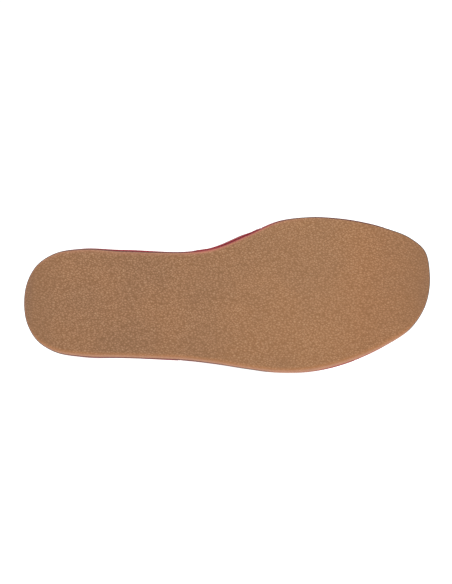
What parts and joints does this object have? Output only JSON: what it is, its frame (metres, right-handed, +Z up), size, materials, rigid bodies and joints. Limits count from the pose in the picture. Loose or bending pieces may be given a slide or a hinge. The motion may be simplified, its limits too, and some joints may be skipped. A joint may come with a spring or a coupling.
{
  "type": "flat sandal",
  "caption": "Flat slip-on sandal for the left foot: thin pebbled rubber outsole, leather-wrapped footbed, sock and open leather bands over ball and instep, lying on its outer side.",
  "frame": {"origin": "on the floor under the middle of the sandal as it lies on its outer side", "axes": "+X from heel to toe, +Z up towards the big-toe side, the sole's underside faces -Y"},
  "size_m": [0.2504, 0.0856, 0.0989],
  "materials": {
    "outsole_rubber": "matt, fine pebble grain, tan",
    "footbed_wrap": "smooth deep red, satin",
    "sock_leather": "natural, matt",
    "band_leather": "smooth deep red, satin"
  },
  "bodies": {
    "root": {"outsole": "outsole_rubber", "footbed": "footbed_wrap", "insole": "sock_leather", "strap_front": "band_leather", "strap_instep": "band_leather"}
  },
  "joints": []
}
